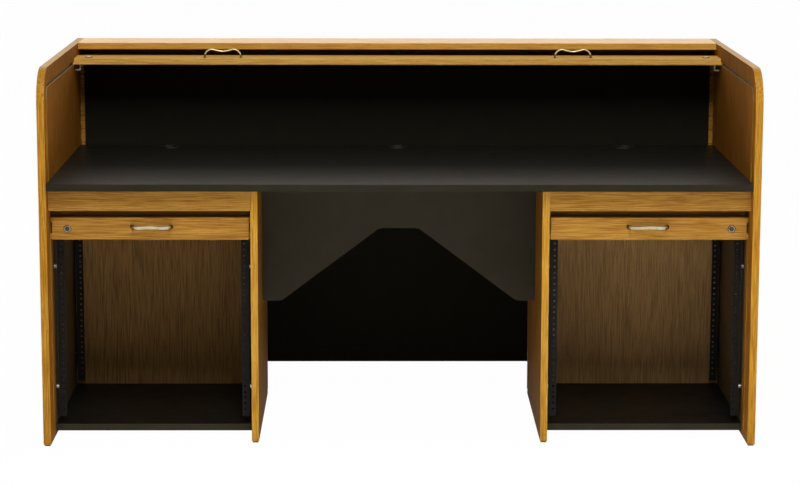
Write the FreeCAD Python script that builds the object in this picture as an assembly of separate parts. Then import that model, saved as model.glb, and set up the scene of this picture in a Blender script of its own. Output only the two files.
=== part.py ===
import FreeCAD, Part
import math
import os

V = FreeCAD.Vector
os.makedirs("parts", exist_ok=True)

# Overall carcass, in millimetres. Fronts face -Y and the floor is Z = 0.
WIDTH = 1800.0
DEPTH = 900.0
HEIGHT = 954.0
SIDE_T = 19.0
BOARD_T = 18.0
CORNER_R = 85.0
GLIDE_H = 4.0
GLIDE_W = 14.0
GLIDE_L = 60.0

# Desktop and the boards above it.
DESK_Z = 669.0
DESK_TAIL_GAP = 12.5
TOP_D = 151.0
BACK_LIFT = 60.0

# Pedestals: two rack bays with a kneehole between them.
PED_SETBACK = 36.0
PED_FROM_DESK = 191.0
FASCIA_H = 54.0
FLOOR_LIFT = 14.0
FLOOR_SETBACK = 110.0

# Knee panel with its trapezoid opening.
KNEE_SETBACK = 297.0
KNEE_LIFT = 318.0
KNEE_CUT_H = 193.0
KNEE_CUT_TOP = 102.0
KNEE_FLAT = 49.5
KNEE_CUT_R = 22.0

# Tambour track and slats, shared by the roll top and both shutters.
TRACK_INSET = 49.0
BEND_R = 36.0
TRACK_W = 10.0
TRACK_PLAY = 0.5
TRACK_CUT = 9.0
SLAT_PITCH = 38.4
SLAT_GAP = 0.4
SLAT_T = 10.0
SLAT_BEVEL = 1.6
TONGUE_T = 8.0
TONGUE_L = 14.0
TONGUE_SPARE = 1.5
RAIL_W = 57.0
RAIL_T = 17.5
RAIL_R = 2.5
CANVAS_T = 0.8
CANVAS_GAP = 0.2
CANVAS_MARGIN = 10.5

# Roll top: open position, tail run and end clearance.
ROLL_OPEN = 109.5
TAIL_FROM_BACK = 119.5
TAIL_EXTRA = 7.0
ROLL_END_GAP = 1.5
ROLL_GROOVE_END = 36.0

# Pedestal shutters.
SHUT_SETBACK = 74.5
SHUT_DROP = 20.5
SHUT_END_GAP = 7.0
SHUT_INNER_GAP = 4.5
SHUT_CANVAS_MARGIN = 1.0
SHUT_OPEN = 17.5
SHUT_HINGE = 17.5
SHUT_GROOVE_END = 9.0

# Bow handles.
GRIP_CENTRES = 98.5
GRIP_RISE = 25.0
GRIP_DIP = 5.5
GRIP_T = 4.5
GRIP_W = 11.0
GRIP_BOSS_R = 5.0
GRIP_BOSS_H = 5.0
GRIP_X = 477.0
GRIP_FROM_EDGE = 22.0
SHUT_GRIP_LIFT = 5.0
SHUT_GRIP_IN = 4.0
GRIP_SCREW_R = 2.0
GRIP_SCREW_HEAD_R = 4.0
GRIP_SCREW_HEAD_H = 2.2

# Cam locks with a cranked tongue.
LOCK_IN = 39.0
SHUT_LOCK_IN = 45.0
LOCK_FLANGE_R = 10.0
LOCK_FLANGE_H = 2.0
LOCK_BARREL_R = 8.0
LOCK_PLUG_R = 6.0
LOCK_TAIL = 0.5
LOCK_KEY_W = 1.6
LOCK_KEY_L = 7.0
LOCK_KEY_D = 8.0
CAM_T = 3.0
CAM_W = 12.0
CAM_REACH = 25.0
CAM_DROP = 14.5
CAM_TOE = 12.0
KEEPER_BEHIND = 3.0
KEEPER_W = 16.0
KEEPER_H = 49.0

# Equipment rails to the nineteen inch rack standard.
RACK_HOLE_SPAN = 465.1
RACK_HOLE_EDGE = 7.55
RACK_U = 44.45
RACK_HOLE_1 = 6.35
RACK_HOLE_STEP = 15.875
RACK_HOLE_R = 2.75
RACK_BASE = 62.0
RACK_END = 12.0
RACK_T = 2.0
RACK_FLANGE = 19.5
RACK_WEB = 35.0
RACK_FRONT_Y = 120.0
RACK_REAR_IN = 45.0
SPACER_R = 6.0
SPACER_L = 8.25
SPACER_LOW = 74.0
SPACER_HIGH = 125.0
SPACER_IN = 18.0
SCREW_R = 2.2
SCREW_HEAD_R = 4.6
SCREW_HEAD_H = 2.6
SCREW_BITE = 8.0

# Cable outlets in the desktop.
OUTLET_HOLE_R = 25.0
OUTLET_BORE_R = 22.0
OUTLET_FLANGE_R = 28.0
OUTLET_FLANGE_H = 2.5
OUTLET_BELOW = 6.0
OUTLET_IN = 50.0

# Rubber stops under the top board.
STOP_X = 350.0
STOP_W = 22.0
STOP_D = 14.0
STOP_H = 11.0
STOP_IN = 10.0

# Running clearances.
FIT = 0.3
SLIP = 0.2

# Positions that follow from the sizes above.
HALF_W = WIDTH / 2.0
FRONT = -DEPTH / 2.0
IN_X = HALF_W - SIDE_T
DESK_LOW = DESK_Z - BOARD_T
TOP_LOW = HEIGHT - BOARD_T
RACK_OPENING = RACK_HOLE_SPAN - 2.0 * RACK_HOLE_EDGE
BAY_HALF = RACK_OPENING / 2.0 + RACK_FLANGE + SPACER_L
BAY_X1 = IN_X
BAY_MID = BAY_X1 - BAY_HALF
BAY_X0 = BAY_MID - BAY_HALF
KNEE_X = BAY_X0 - BOARD_T
FLOOR_TOP = FLOOR_LIFT + BOARD_T
ROLL_Z = HEIGHT - TRACK_INSET
ROLL_FRONT = FRONT + TRACK_INSET
ROLL_BEND_Z = ROLL_Z - BEND_R
ROLL_TAIL_Y = FRONT + DEPTH - TAIL_FROM_BACK
REAR_BEND_Y = ROLL_TAIL_Y - BEND_R
FRONT_BEND_Y = ROLL_FRONT + BEND_R
DESK_BACK = ROLL_TAIL_Y - DESK_TAIL_GAP
OUTLET_Y = DESK_BACK - OUTLET_IN
PED_FRONT = FRONT + PED_SETBACK
PED_BACK = DESK_BACK - PED_FROM_DESK
RAIL_Y0 = REAR_BEND_Y - ROLL_OPEN
RAIL_Y1 = RAIL_Y0 + RAIL_W
SHUT_Y = FRONT + SHUT_SETBACK
SHUT_TOP_Z = DESK_LOW - SHUT_DROP
SHUT_BEND_Y = SHUT_Y + BEND_R
SHUT_BEND_Z = SHUT_TOP_Z - BEND_R
SHUT_RAIL_Z = SHUT_BEND_Z - SHUT_OPEN - RAIL_W
BEND_RUN = BEND_R * math.pi / 2.0
ROLL_RUN = REAR_BEND_Y - RAIL_Y1 + BEND_RUN + ROLL_BEND_Z - ROLL_GROOVE_END - TAIL_EXTRA
ROLL_SLATS = int(ROLL_RUN // SLAT_PITCH)
SHUT_RUN = SHUT_OPEN - SHUT_HINGE + BEND_RUN + PED_BACK - SHUT_BEND_Y
SHUT_SLATS = int(SHUT_RUN // SLAT_PITCH)
RACK_FRONT = FRONT + RACK_FRONT_Y
RACK_REAR = PED_BACK - RACK_REAR_IN
RACK_UNITS = int((SHUT_BEND_Z - RACK_BASE - RACK_END) // RACK_U)
RACK_LOW = RACK_BASE - RACK_END
RACK_HIGH = RACK_BASE + RACK_UNITS * RACK_U + RACK_END


def box(x0, x1, y0, y1, z0, z1):
    """Axis-parallel block between two corners."""
    return Part.makeBox(x1 - x0, y1 - y0, z1 - z0, V(x0, y0, z0))


def drum(r, start, end):
    """Cylinder between two points."""
    axis = end.sub(start)
    return Part.makeCylinder(r, axis.Length, start, axis)


def mirror_x(shape):
    """The same piece on the other side of the desk."""
    return shape.mirror(V(0, 0, 0), V(1, 0, 0))


def outline(points, to_space):
    """Closed face from (a, b, radius) corners; each corner may be rounded."""
    n = len(points)
    starts, ends, mids = [], [], []
    for i, (a, b, r) in enumerate(points):
        here = V(a, b, 0)
        to_prev = V(points[i - 1][0] - a, points[i - 1][1] - b, 0).normalize()
        nxt = points[(i + 1) % n]
        to_next = V(nxt[0] - a, nxt[1] - b, 0).normalize()
        if r <= 0:
            starts.append(here)
            ends.append(here)
            mids.append(None)
            continue
        half = to_prev.getAngle(to_next) / 2.0
        reach = r / math.tan(half)
        middle = to_prev.add(to_next).normalize()
        centre = here.add(middle.multiply(r / math.sin(half)))
        inward = here.sub(centre).normalize()
        starts.append(here.add(to_prev.multiply(reach)))
        ends.append(here.add(to_next.multiply(reach)))
        mids.append(centre.add(inward.multiply(r)))
    edges = []
    for i in range(n):
        if mids[i] is not None:
            arc = Part.Arc(to_space(starts[i]), to_space(mids[i]), to_space(ends[i]))
            edges.append(arc.toShape())
        a, b = ends[i], starts[(i + 1) % n]
        if a.distanceToPoint(b) > 1e-6:
            edges.append(Part.makeLine(to_space(a), to_space(b)))
    return Part.Face(Part.Wire(edges))


def across(points, x0, x1):
    """Extrude a (y, z, radius) outline along X."""
    face = outline(points, lambda p: V(x0, p.x, p.y))
    return face.extrude(V(x1 - x0, 0, 0))


def quarter(x0, x1, y, z, r0, r1, sy):
    """Quarter ring about an axis along X, above z and on the side sy of y."""
    ring = drum(r1, V(x0, y, z), V(x1, y, z)).cut(drum(r0, V(x0, y, z), V(x1, y, z)))
    ya, yb = (y, y + r1 + 1) if sy > 0 else (y - r1 - 1, y)
    return ring.common(box(min(x0, x1), max(x0, x1), ya, yb, z, z + r1 + 1))


def fuse_all(shapes):
    """One solid from several that meet."""
    whole = shapes[0]
    for s in shapes[1:]:
        whole = whole.fuse(s)
    return whole.removeSplitter()


def place(shape, x, y, z, turn):
    """Turn a piece about X by turn degrees, then move it."""
    s = shape.copy()
    s.rotate(V(0, 0, 0), V(1, 0, 0), turn)
    s.translate(V(x, y, z))
    return s


def save(name, shape):
    """Write one named piece."""
    shape.exportStep("parts/" + name + ".step")


def track_walls(inset):
    """Radii of the groove's inner and outer walls round a bend."""
    return inset - TRACK_PLAY, inset - TRACK_PLAY + TRACK_W


def roll_track(x0, x1):
    """Groove of the roll top: front run, bend, top run, rear bend and tail run."""
    r0, r1 = track_walls(BEND_R)
    y_in, y_out = ROLL_FRONT + TRACK_PLAY, ROLL_FRONT + TRACK_PLAY - TRACK_W
    z_in, z_out = ROLL_Z - TRACK_PLAY, ROLL_Z - TRACK_PLAY + TRACK_W
    t_in, t_out = ROLL_TAIL_Y - TRACK_PLAY, ROLL_TAIL_Y - TRACK_PLAY + TRACK_W
    return fuse_all([
        box(x0, x1, y_out, y_in, DESK_Z, ROLL_BEND_Z),
        quarter(x0, x1, FRONT_BEND_Y, ROLL_BEND_Z, r0, r1, -1),
        box(x0, x1, FRONT_BEND_Y, REAR_BEND_Y, z_in, z_out),
        quarter(x0, x1, REAR_BEND_Y, ROLL_BEND_Z, r0, r1, 1),
        box(x0, x1, t_in, t_out, ROLL_GROOVE_END, ROLL_BEND_Z),
    ])


def shutter_track(x0, x1):
    """Groove of a pedestal shutter: front run, bend and top run."""
    r0, r1 = track_walls(BEND_R)
    y_in, y_out = SHUT_Y + TRACK_PLAY, SHUT_Y + TRACK_PLAY - TRACK_W
    z_in, z_out = SHUT_TOP_Z - TRACK_PLAY, SHUT_TOP_Z - TRACK_PLAY + TRACK_W
    return fuse_all([
        box(x0, x1, y_out, y_in, SHUT_GROOVE_END, SHUT_BEND_Z),
        quarter(x0, x1, SHUT_BEND_Y, SHUT_BEND_Z, r0, r1, -1),
        box(x0, x1, SHUT_BEND_Y, PED_BACK, z_in, z_out),
    ])


def spacer_heights():
    """Heights of a rail's two fixings, counted from its ends."""
    return RACK_LOW + SPACER_LOW, RACK_HIGH - SPACER_HIGH


def screw_sites():
    """Fixing points (y, z) of the equipment rails on a bay wall."""
    rows = (RACK_FRONT + SPACER_IN, RACK_REAR + SPACER_IN)
    return [(y, z) for y in rows for z in spacer_heights()]


def side_panel():
    """Right side panel with its rounded front corner, tracks and keeper slot."""
    y0, y1 = FRONT, FRONT + DEPTH
    body = across([(y0, GLIDE_H, 0), (y1, GLIDE_H, 0), (y1, HEIGHT, 0), (y0, HEIGHT, CORNER_R)],
                  IN_X, HALF_W)
    cut_x = IN_X + TRACK_CUT
    body = body.cut(roll_track(IN_X - 1, cut_x)).cut(shutter_track(IN_X - 1, cut_x))
    keeper_y = ROLL_FRONT + KEEPER_BEHIND
    body = body.cut(box(IN_X - 1, cut_x, keeper_y, keeper_y + KEEPER_W, DESK_Z, DESK_Z + KEEPER_H))
    for y, z in screw_sites():
        body = body.cut(drum(SCREW_R + SLIP, V(IN_X - 1, y, z), V(IN_X + SCREW_BITE + 1, y, z)))
    return body


def inner_panel():
    """Right inner pedestal panel, grooved on its bay side."""
    body = box(KNEE_X, BAY_X0, PED_FRONT, PED_BACK, GLIDE_H, DESK_LOW)
    body = body.cut(shutter_track(BAY_X0 - TRACK_CUT, BAY_X0 + 1))
    for y, z in screw_sites():
        body = body.cut(drum(SCREW_R + SLIP, V(BAY_X0 + 1, y, z), V(BAY_X0 - SCREW_BITE - 1, y, z)))
    return body


def outlet_sites():
    """Centres of the three cable outlets along the desktop's rear."""
    return [("left", -BAY_MID), ("centre", 0.0), ("right", BAY_MID)]


def desktop():
    """Desktop board between the side panels with its cable outlet holes."""
    y0, y1 = FRONT, DESK_BACK
    body = across([(y0, DESK_LOW, 1.5), (y1, DESK_LOW, 0), (y1, DESK_Z, 0), (y0, DESK_Z, 1.5)],
                  -IN_X, IN_X)
    y = OUTLET_Y
    for _, x in outlet_sites():
        body = body.cut(drum(OUTLET_HOLE_R, V(x, y, DESK_LOW - 1), V(x, y, DESK_Z + 1)))
    return body


def outlet():
    """Flanged cable outlet liner at the middle of the desktop."""
    y = OUTLET_Y
    low = DESK_LOW - OUTLET_BELOW
    top = DESK_Z + OUTLET_FLANGE_H
    liner = drum(OUTLET_HOLE_R - FIT, V(0, y, low), V(0, y, DESK_Z + 0.5))
    flange = drum(OUTLET_FLANGE_R, V(0, y, DESK_Z), V(0, y, top))
    bore = drum(OUTLET_BORE_R, V(0, y, low - 1), V(0, y, top + 1))
    return liner.fuse(flange).removeSplitter().cut(bore)


def knee_panel():
    """Board across the kneehole with a trapezoid cut up from its lower edge."""
    y0 = FRONT + KNEE_SETBACK
    low, high = KNEE_LIFT, DESK_LOW
    half_top, half_base = KNEE_CUT_TOP / 2.0, KNEE_X - KNEE_FLAT
    cut = low + KNEE_CUT_H
    corners = [(-KNEE_X, low, 0), (-half_base, low, KNEE_CUT_R), (-half_top, cut, KNEE_CUT_R),
               (half_top, cut, KNEE_CUT_R), (half_base, low, KNEE_CUT_R), (KNEE_X, low, 0),
               (KNEE_X, high, 0), (-KNEE_X, high, 0)]
    face = outline(corners, lambda p: V(p.x, y0, p.y))
    return face.extrude(V(0, BOARD_T, 0))


def strip_profile(width, bevel, thick):
    """Section of a slat: flat inner face at b = 0 and bevelled outer edges."""
    h = width / 2.0
    return [(-h, 0, 0), (h, 0, 0), (h, thick - bevel, 0), (h - bevel, thick, 0),
            (-h + bevel, thick, 0), (-h, thick - bevel, 0)]


def slat(x0, x1, tips, extra=0.0, thick=SLAT_T):
    """Slat along X with a tongue out to each tip, centred on its own width."""
    body = across(strip_profile(SLAT_PITCH - SLAT_GAP + extra, SLAT_BEVEL, thick), x0, x1)
    t = TONGUE_L / 2.0
    tongue = box(tips[0], tips[1], -t, t, 0, TONGUE_T)
    return body.fuse(tongue).removeSplitter()


def lead_rail(x0, x1, tips):
    """Lead rail along X, leading edge at a = 0, with two tongues out to each tip."""
    body = across([(0, 0, RAIL_R), (RAIL_W, 0, 0), (RAIL_W, RAIL_T, 0), (0, RAIL_T, RAIL_R)], x0, x1)
    a0, a1 = 1.0, RAIL_W - 1.0
    for p, q in ((a0, a0 + TONGUE_L), (a1 - TONGUE_L, a1)):
        body = body.fuse(box(tips[0], tips[1], p, q, 0, TONGUE_T))
    return body.removeSplitter()


def bow_grip():
    """Bow handle along X on the plane z = 0: wavy strap on two bosses, drilled for screws."""
    half = GRIP_CENTRES / 2.0
    rise = GRIP_RISE - GRIP_T / 2.0
    spine = [(-half, 0.0), (-half + 1.6, rise * 0.42), (-half + 8.0, rise * 0.80),
             (-half + 19.0, rise), (-half + 32.0, rise - GRIP_DIP * 0.55), (0.0, rise - GRIP_DIP)]
    spine = spine + [(-a, b) for a, b in reversed(spine[:-1])]
    curve = Part.BSplineCurve()
    curve.interpolate([V(a, 0, b) for a, b in spine])
    upper, lower = [], []
    steps = 48
    for i in range(steps + 1):
        u = curve.FirstParameter + (curve.LastParameter - curve.FirstParameter) * i / steps
        p = curve.value(u)
        d = curve.tangent(u)[0]
        side = V(-d.z, 0, d.x).multiply(GRIP_T / 2.0)
        upper.append(p.add(side))
        lower.append(p.sub(side))
    edges = []
    for line in (upper, lower):
        c = Part.BSplineCurve()
        c.interpolate(line)
        edges.append(c.toShape())
    edges.append(Part.makeLine(upper[0], lower[0]))
    edges.append(Part.makeLine(upper[-1], lower[-1]))
    face = Part.Face(Part.Wire(Part.__sortEdges__(edges)))
    strap = face.extrude(V(0, GRIP_W, 0))
    strap.translate(V(0, -GRIP_W / 2.0, 0))
    strap = strap.common(box(-half - 20, half + 20, -GRIP_W, GRIP_W, 0, GRIP_RISE + 5))
    body = strap
    for x in (-half, half):
        body = body.fuse(drum(GRIP_BOSS_R, V(x, 0, 0), V(x, 0, GRIP_BOSS_H)))
    body = body.removeSplitter()
    for x in (-half, half):
        body = body.cut(drum(GRIP_SCREW_R + SLIP, V(x, 0, -1), V(x, 0, GRIP_BOSS_H - 1.0)))
    return body


def grip_screws():
    """Two machine screws that hold a handle from behind the rail."""
    half = GRIP_CENTRES / 2.0
    screws = []
    for x in (-half, half):
        shank = drum(GRIP_SCREW_R, V(x, 0, -RAIL_T), V(x, 0, GRIP_BOSS_H - 1.5))
        head = drum(GRIP_SCREW_HEAD_R, V(x, 0, -RAIL_T - GRIP_SCREW_HEAD_H), V(x, 0, -RAIL_T))
        screws.append(shank.fuse(head).removeSplitter())
    return screws


def grip_holes(shape, centre, turn):
    """Drill a rail for a handle whose own frame is turned and moved to centre."""
    half = GRIP_CENTRES / 2.0
    for x in (-half, half):
        hole = drum(GRIP_SCREW_R + SLIP, V(x, 0, -RAIL_T - 1), V(x, 0, 1))
        shape = shape.cut(place(hole, centre.x, centre.y, centre.z, turn))
    return shape


def lock_body():
    """Lock case: flange on z = 0 and a barrel through the rail, bored for the plug."""
    low = -RAIL_T - LOCK_TAIL + FIT
    flange = drum(LOCK_FLANGE_R, V(0, 0, 0), V(0, 0, LOCK_FLANGE_H))
    barrel = drum(LOCK_BARREL_R, V(0, 0, low), V(0, 0, LOCK_FLANGE_H))
    bore = drum(LOCK_PLUG_R + FIT, V(0, 0, low - 1), V(0, 0, LOCK_FLANGE_H + 1))
    return flange.fuse(barrel).removeSplitter().cut(bore)


def lock_plug():
    """Lock plug with its key slot."""
    top = LOCK_FLANGE_H + 0.8
    plug = drum(LOCK_PLUG_R, V(0, 0, -RAIL_T - LOCK_TAIL), V(0, 0, top))
    w, h = LOCK_KEY_W / 2.0, LOCK_KEY_L / 2.0
    return plug.cut(box(-w, w, -h, h, top - LOCK_KEY_D, top + 1))


def lock_cam():
    """Cranked cam on the plug's end, its toe pointing along +X."""
    z1 = -RAIL_T - LOCK_TAIL
    z0 = z1 - CAM_T
    w = CAM_W / 2.0
    arm = box(-LOCK_PLUG_R, CAM_REACH, -w, w, z0, z1)
    leg = box(CAM_REACH - CAM_T, CAM_REACH, -w, w, z0 - CAM_DROP, z1)
    toe = box(CAM_REACH - CAM_T, CAM_REACH + CAM_TOE, -w, w, z0 - CAM_DROP, z0 - CAM_DROP + CAM_T)
    return fuse_all([arm, leg, toe])


def lock_hole(shape, centre, turn):
    """Bore a rail for a lock barrel."""
    hole = drum(LOCK_BARREL_R + SLIP, V(0, 0, -RAIL_T - 1), V(0, 0, 1))
    return shape.cut(place(hole, centre.x, centre.y, centre.z, turn))


def roll_slat_pose(i):
    """Position (y, z) and turn of the roll top's slat i, counted from the lead rail."""
    s = (i + 0.5) * SLAT_PITCH
    straight = REAR_BEND_Y - RAIL_Y1
    if s <= straight:
        return RAIL_Y1 + s, ROLL_Z, 0.0
    if s <= straight + BEND_RUN:
        a = (s - straight) / BEND_R
        y, z = REAR_BEND_Y + BEND_R * math.sin(a), ROLL_BEND_Z + BEND_R * math.cos(a)
        return y, z, -math.degrees(a)
    return ROLL_TAIL_Y, ROLL_BEND_Z - (s - straight - BEND_RUN), -90.0


def shutter_slat_pose(i):
    """Position (y, z) and turn of a shutter's slat i, counted from its lead rail."""
    s = SHUT_HINGE + (i + 0.5) * SLAT_PITCH
    straight = SHUT_OPEN
    if s <= straight:
        return SHUT_Y, SHUT_RAIL_Z + RAIL_W + s, 90.0
    if s <= straight + BEND_RUN:
        a = (s - straight) / BEND_R
        y, z = SHUT_BEND_Y - BEND_R * math.cos(a), SHUT_BEND_Z + BEND_R * math.sin(a)
        return y, z, 90.0 - math.degrees(a)
    return SHUT_BEND_Y + s - straight - BEND_RUN, SHUT_TOP_Z, 0.0


def roll_canvas(x0, x1):
    """Canvas glued inside the roll top's slats, from the lead rail to the last slat but one."""
    g0, g1 = CANVAS_GAP + CANVAS_T, CANVAS_GAP
    last = roll_slat_pose(ROLL_SLATS - 2)[1] - SLAT_PITCH / 2.0
    return fuse_all([
        box(x0, x1, RAIL_Y1, REAR_BEND_Y, ROLL_Z - g0, ROLL_Z - g1),
        quarter(x0, x1, REAR_BEND_Y, ROLL_BEND_Z, BEND_R - g0, BEND_R - g1, 1),
        box(x0, x1, ROLL_TAIL_Y - g0, ROLL_TAIL_Y - g1, last, ROLL_BEND_Z),
    ])


def tail_slat(x0, x1, tips):
    """Wider last slat of the roll top's tail."""
    y, z, turn = roll_slat_pose(ROLL_SLATS - 1)
    return place(slat(x0, x1, tips, TAIL_EXTRA), 0, y, z - TAIL_EXTRA / 2.0, turn)


def tail_canvas(x0, x1):
    """End of the canvas, glued on the last slat."""
    middle = roll_slat_pose(ROLL_SLATS - 1)[1]
    half = (SLAT_PITCH - SLAT_GAP) / 2.0
    y = ROLL_TAIL_Y - CANVAS_GAP
    return box(x0, x1, y - CANVAS_T, y, middle - half - TAIL_EXTRA, middle + half)


def shutter_canvas(x0, x1):
    """Canvas glued inside a shutter's slats."""
    g0, g1 = CANVAS_GAP + CANVAS_T, CANVAS_GAP
    last = shutter_slat_pose(SHUT_SLATS - 1)[0] + SLAT_PITCH / 2.0
    return fuse_all([
        box(x0, x1, SHUT_Y + g1, SHUT_Y + g0, SHUT_RAIL_Z + RAIL_W, SHUT_BEND_Z),
        quarter(x0, x1, SHUT_BEND_Y, SHUT_BEND_Z, BEND_R - g0, BEND_R - g1, -1),
        box(x0, x1, SHUT_BEND_Y, last, SHUT_TOP_Z - g0, SHUT_TOP_Z - g1),
    ])


def rack_rail(y0, side):
    """Punched steel angle on one wall of the right bay; side is +1 on the outer wall."""
    edge = BAY_MID + side * RACK_OPENING / 2.0
    outer = edge + side * RACK_FLANGE
    inner = outer - side * RACK_T
    flange = box(min(edge, outer), max(edge, outer), y0, y0 + RACK_T, RACK_LOW, RACK_HIGH)
    web = box(min(inner, outer), max(inner, outer), y0, y0 + RACK_WEB, RACK_LOW, RACK_HIGH)
    body = flange.fuse(web).removeSplitter()
    x = BAY_MID + side * RACK_HOLE_SPAN / 2.0
    holes = []
    for u in range(RACK_UNITS):
        for k in range(3):
            z = RACK_BASE + u * RACK_U + RACK_HOLE_1 + k * RACK_HOLE_STEP
            holes.append(drum(RACK_HOLE_R, V(x, y0 - 1, z), V(x, y0 + RACK_T + 1, z)))
    for z in spacer_heights():
        y = y0 + SPACER_IN
        holes.append(drum(SCREW_R + SLIP, V(inner - 5, y, z), V(inner + 5, y, z)))
    return body.cut(Part.makeCompound(holes))


def rack_fixings():
    """Spacer sleeves and screws of the right bay's rails."""
    sleeves, screws = [], []
    for side, wall in ((1, BAY_X1), (-1, BAY_X0)):
        web = BAY_MID + side * (RACK_OPENING / 2.0 + RACK_FLANGE)
        for y, z in screw_sites():
            a, b = V(web, y, z), V(wall, y, z)
            sleeves.append(drum(SPACER_R, a, b).cut(drum(SCREW_R + SLIP, a, b)))
            face = web - side * RACK_T
            tip = wall + side * SCREW_BITE
            shank = drum(SCREW_R, V(face, y, z), V(tip, y, z))
            head = drum(SCREW_HEAD_R, V(face - side * SCREW_HEAD_H, y, z), V(face, y, z))
            screws.append(shank.fuse(head).removeSplitter())
    return sleeves, screws


def glides():
    """Low pads under the side panels and the inner panels."""
    pads = []
    feet = [(HALF_W - SIDE_T / 2.0, FRONT, FRONT + DEPTH),
            (KNEE_X + BOARD_T / 2.0, PED_FRONT, PED_BACK)]
    for x, y0, y1 in feet:
        for a in (y0 + 4.0, y1 - 4.0 - GLIDE_L):
            pads.append(box(x - GLIDE_W / 2.0, x + GLIDE_W / 2.0, a, a + GLIDE_L, 0, GLIDE_H))
    return pads


def stops():
    """Rubber stop blocks under the front of the top board."""
    y = FRONT + DEPTH - TOP_D + STOP_IN
    return [box(x - STOP_W / 2.0, x + STOP_W / 2.0, y, y + STOP_D, TOP_LOW - STOP_H, TOP_LOW)
            for x in (-STOP_X, 0.0, STOP_X)]


def pair(name, shape):
    """Write a right-hand piece and its mirror image."""
    save("right_" + name, shape)
    save("left_" + name, mirror_x(shape))


# Carcass boards.
pair("side_panel", side_panel())
pair("inner_panel", inner_panel())
save("desktop", desktop())
save("knee_panel", knee_panel())
top_y = FRONT + DEPTH - TOP_D
BACK = FRONT + DEPTH
top_profile = [(top_y, TOP_LOW, 1.5), (BACK, TOP_LOW, 0), (BACK, HEIGHT, 0), (top_y, HEIGHT, 1.5)]
save("top_board", across(top_profile, -IN_X, IN_X))
save("back_panel", box(-IN_X, IN_X, BACK - BOARD_T, BACK, BACK_LIFT, TOP_LOW))
pair("fascia", box(BAY_X0, BAY_X1, PED_FRONT, PED_FRONT + BOARD_T, DESK_LOW - FASCIA_H, DESK_LOW))
pair("bay_floor", box(BAY_X0, BAY_X1, FRONT + FLOOR_SETBACK, PED_BACK, FLOOR_LIFT, FLOOR_TOP))
pair("bay_back", box(KNEE_X, BAY_X1, PED_BACK, PED_BACK + BOARD_T, FLOOR_LIFT, DESK_LOW))
pads = glides()
save("floor_glides", Part.makeCompound(pads + [mirror_x(p) for p in pads]))
save("top_stops", Part.makeCompound(stops()))
grommet = outlet()
for where, x in outlet_sites():
    liner = grommet.copy()
    liner.translate(V(x, 0, 0))
    save("cable_outlet_" + where, liner)

# Equipment rails with their sleeves and screws.
for row, y_face in (("front", RACK_FRONT), ("rear", RACK_REAR)):
    pair("rack_rail_" + row + "_outer", rack_rail(y_face, 1))
    pair("rack_rail_" + row + "_inner", rack_rail(y_face, -1))
sleeves, screws = rack_fixings()
save("rack_sleeves", Part.makeCompound(sleeves + [mirror_x(s) for s in sleeves]))
save("rack_screws", Part.makeCompound(screws + [mirror_x(s) for s in screws]))

# Roll top: lead rail, handles, locks, slats, canvas and the last slat of the tail.
roll_x = IN_X - ROLL_END_GAP
roll_tip = IN_X + TRACK_CUT - TONGUE_SPARE
roll_tips = (-roll_tip, roll_tip)
rail = place(lead_rail(-roll_x, roll_x, roll_tips), 0, RAIL_Y0, ROLL_Z, 0)
grip_at = V(GRIP_X, RAIL_Y0 + GRIP_FROM_EDGE, ROLL_Z + RAIL_T)
lock_at = V(IN_X - LOCK_IN, RAIL_Y0 + RAIL_W / 2.0, ROLL_Z + RAIL_T)
for side in (1, -1):
    rail = grip_holes(rail, V(side * grip_at.x, grip_at.y, grip_at.z), 0)
    rail = lock_hole(rail, V(side * lock_at.x, lock_at.y, lock_at.z), 0)
save("rolltop_lead_rail", rail)
roll_pieces = [("grip", bow_grip(), grip_at), ("lock_case", lock_body(), lock_at),
               ("lock_plug", lock_plug(), lock_at), ("lock_cam", lock_cam(), lock_at)]
for name, shape, at in roll_pieces:
    piece = place(shape, at.x, at.y, at.z, 0)
    save("rolltop_" + name + "_right", piece)
    save("rolltop_" + name + "_left", mirror_x(piece))
held = [place(s, grip_at.x, grip_at.y, grip_at.z, 0) for s in grip_screws()]
save("rolltop_grip_screws", Part.makeCompound(held + [mirror_x(s) for s in held]))
one = slat(-roll_x, roll_x, roll_tips)
first = slat(-roll_x, roll_x, roll_tips, 0.0, RAIL_T)
row = [place(first, 0, *roll_slat_pose(0))]
row += [place(one, 0, *roll_slat_pose(i)) for i in range(1, ROLL_SLATS - 1)]
save("rolltop_slats", Part.makeCompound(row))
save("rolltop_tail_slat", tail_slat(-roll_x, roll_x, roll_tips))
canvas_x = roll_x - CANVAS_MARGIN
save("rolltop_canvas", roll_canvas(-canvas_x, canvas_x))
save("rolltop_tail_canvas", tail_canvas(-canvas_x, canvas_x))

# Pedestal shutters: lead rail, handle, lock, slats and canvas.
shut_x0, shut_x1 = BAY_X0 + SHUT_INNER_GAP, BAY_X1 - SHUT_END_GAP
tip_in = TRACK_CUT - TONGUE_SPARE
shut_tips = (BAY_X0 - tip_in, BAY_X1 + tip_in)
rail = place(lead_rail(shut_x0, shut_x1, shut_tips), 0, SHUT_Y, SHUT_RAIL_Z, 90)
face_y = SHUT_Y - RAIL_T
grip_at = V(BAY_MID - SHUT_GRIP_IN, face_y, SHUT_RAIL_Z + RAIL_W / 2.0 + SHUT_GRIP_LIFT)
lock_at = V(BAY_X1 - SHUT_LOCK_IN, face_y, SHUT_RAIL_Z + RAIL_W / 2.0)
rail = lock_hole(grip_holes(rail, grip_at, 90), lock_at, 90)
pair("shutter_lead_rail", rail)
shut_pieces = [("grip", bow_grip(), grip_at), ("lock_case", lock_body(), lock_at),
               ("lock_plug", lock_plug(), lock_at), ("lock_cam", lock_cam(), lock_at)]
for name, shape, at in shut_pieces:
    pair("shutter_" + name, place(shape, at.x, at.y, at.z, 90))
held = [place(s, grip_at.x, grip_at.y, grip_at.z, 90) for s in grip_screws()]
pair("shutter_grip_screws", Part.makeCompound(held))
one = slat(shut_x0, shut_x1, shut_tips)
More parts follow.
